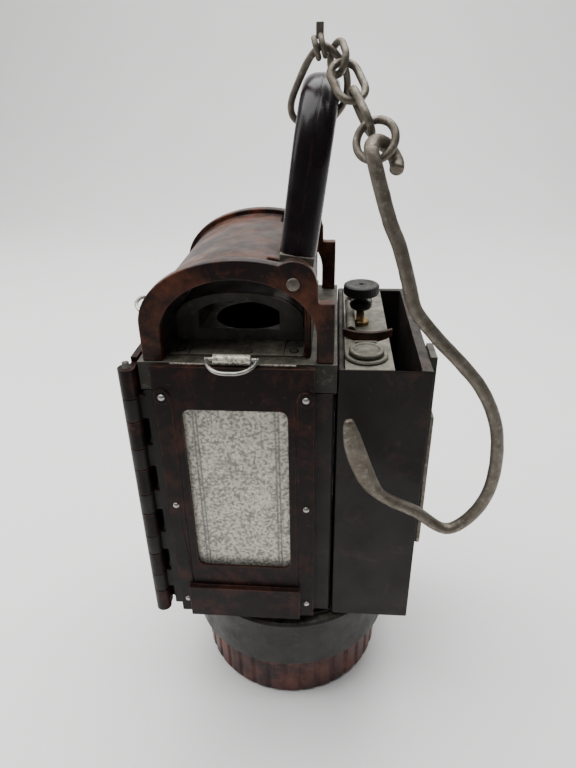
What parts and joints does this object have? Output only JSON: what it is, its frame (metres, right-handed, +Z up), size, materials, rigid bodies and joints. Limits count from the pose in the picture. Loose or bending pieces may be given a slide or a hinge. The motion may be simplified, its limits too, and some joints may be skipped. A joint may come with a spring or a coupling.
{
  "type": "carbide lamp",
  "caption": "Moulded acetylene lantern with a glazed door, side water tank, arched hood, swinging handle, chain with hanging hook and screw-on fluted base.",
  "frame": {"origin": "centre of the fluted base's underside, where the lamp stands", "axes": "+Z up, +X to the right seen from the door, where the water tank is, +Y from the door to the rear"},
  "size_m": [0.1716, 0.134, 0.352],
  "materials": {
    "bakelite": "mottled dark red-brown moulded resin, worn to a redder brown at the edges",
    "bakelite_dark": "near-black moulded resin, dull and dusty",
    "collar_grey": "smooth dark grey, dull",
    "galvanised": "dusty grey-green zinc-coated sheet",
    "tinplate": "bright tinned sheet with dark grey mottling",
    "dark_sheet": "sooty dark sheet steel",
    "rust_steel": "aged grey-brown steel, rust-pitted, dull",
    "bright_steel": "pale worn steel",
    "brass_dull": "dull aged brass",
    "rubber": "black rubber",
    "glass": "clear pane, faintly green at the edges",
    "steatite": "unglazed burner ceramic"
  },
  "bodies": {
    "lamp": {"case_body": "bakelite_dark", "base_collar": "collar_grey", "tank_box": "bakelite_dark", "side_frame": "bakelite", "side_glass": "glass", "side_rivets": "bright_steel", "hinge_pin": "dark_sheet", "top_pan": "galvanised", "hood_plate": "galvanised", "corner_tabs": "galvanised", "hood_screws": "dark_sheet", "hood": "bakelite", "inner_chimney": "dark_sheet", "pivot_rivets": "rust_steel", "water_tank": "galvanised", "filler_neck": "galvanised", "vent_tube": "galvanised", "rear_cap": "dark_sheet", "valve_gland": "brass_dull", "drip_tube": "brass_dull", "gas_pipe": "brass_dull", "burner_base": "brass_dull", "burner_tip": "steatite", "reflector": "tinplate", "base_gasket": "rubber", "belt_rail": "dark_sheet", "belt_block": "bakelite", "belt_tongue": "rust_steel", "belt_rivets": "bright_steel"},
    "door": {"door_leaf": "bakelite_dark", "door_frame": "bakelite", "door_glass": "glass", "door_rivets": "bright_steel"},
    "front_slide": {"front_slide": "tinplate"},
    "front_ring": {"front_ring": "bright_steel"},
    "side_slide": {"side_slide": "tinplate"},
    "side_ring": {"side_ring": "bright_steel"},
    "handle": {"handle_grip": "bakelite_dark", "handle_feet": "galvanised"},
    "sling": {"sling": "rust_steel", "sling_tab": "rust_steel"},
    "link_1": {"chain_link_1": "rust_steel"},
    "link_2": {"chain_link_2": "rust_steel"},
    "link_3": {"chain_link_3": "rust_steel"},
    "link_4": {"chain_link_4": "rust_steel"},
    "hook": {"hook": "rust_steel"},
    "valve": {"valve_spindle": "brass_dull", "valve_knob": "dark_sheet"},
    "filler_cap": {"filler_cap": "galvanised", "thumb_bar": "bakelite"},
    "carbide_can": {"carbide_can": "galvanised"},
    "carbide_cup": {"carbide_cup": "bakelite"}
  },
  "joints": [
    {"name": "door_swing", "type": "hinge", "parent": "lamp", "child": "door", "pos_m": [-0.068, -0.0544, 0.14], "axis": [0, 0, 1], "range_deg": [-110, 0]},
    {"name": "front_slide_lift", "type": "slide", "parent": "door", "child": "front_slide", "axis": [0, 0, 1], "range_m": [0, 0.09]},
    {"name": "front_ring_swing", "type": "hinge", "parent": "front_slide", "child": "front_ring", "pos_m": [-0.01985, -0.0557, 0.2263], "axis": [-1, 0, 0], "range_deg": [-5, 100]},
    {"name": "side_slide_lift", "type": "slide", "parent": "lamp", "child": "side_slide", "axis": [0, 0, 1], "range_m": [-0.006, 0.084]},
    {"name": "side_ring_swing", "type": "hinge", "parent": "side_slide", "child": "side_ring", "pos_m": [-0.0647, -0.01275, 0.2323], "axis": [0, 1, 0], "range_deg": [-15, 60]},
    {"name": "handle_swing", "type": "hinge", "parent": "lamp", "child": "handle", "pos_m": [0.007, 0, 0.2593], "axis": [0, 1, 0], "range_deg": [-36, 72]},
    {"name": "sling_swing", "type": "hinge", "parent": "handle", "child": "sling", "pos_m": [0.0172, -0.028, 0.329], "axis": [0, 1, 0], "range_deg": [-6, 2]},
    {"name": "link_1_swing", "type": "hinge", "parent": "sling", "child": "link_1", "pos_m": [0.0228, -0.0293, 0.3413], "axis": [0, 1, 0], "range_deg": [-6, 6]},
    {"name": "link_2_swing", "type": "hinge", "parent": "link_1", "child": "link_2", "pos_m": [0.0245, -0.03398, 0.33713], "axis": [0, -1, 0], "range_deg": [-6, 6]},
    {"name": "link_3_swing", "type": "hinge", "parent": "link_2", "child": "link_3", "pos_m": [0.02983, -0.04151, 0.32754], "axis": [0, 1, 0], "range_deg": [-6, 6]},
    {"name": "link_4_swing", "type": "hinge", "parent": "link_3", "child": "link_4", "pos_m": [0.0354, -0.04937, 0.31752], "axis": [0, -1, 0], "range_deg": [-6, 6]},
    {"name": "hook_swing", "type": "hinge", "parent": "link_4", "child": "hook", "pos_m": [0.0398, -0.05559, 0.30959], "axis": [0, 1, 0], "range_deg": [-5, 8]},
    {"name": "valve_turn", "type": "hinge", "parent": "lamp", "child": "valve", "pos_m": [0.0376, 0.0017, 0.23], "axis": [0, 0, 1], "range_deg": [0, 720]},
    {"name": "filler_cap_swing", "type": "hinge", "parent": "lamp", "child": "filler_cap", "pos_m": [0.0392, -0.0291, 0.2235], "axis": [-1, 0, 0], "range_deg": [0, 60]},
    {"name": "can_drop", "type": "slide", "parent": "lamp", "child": "carbide_can", "axis": [0, 0, -1], "range_m": [0, 0.01]},
    {"name": "cup_turn", "type": "hinge", "parent": "carbide_can", "child": "carbide_cup", "pos_m": [0, 0, 0.02], "axis": [0, 0, -1], "range_deg": [0, 450]}
  ],
  "couplings": [
    {"joint": "can_drop", "follows": "cup_turn", "m_per_rad": 0.0012732}
  ]
}
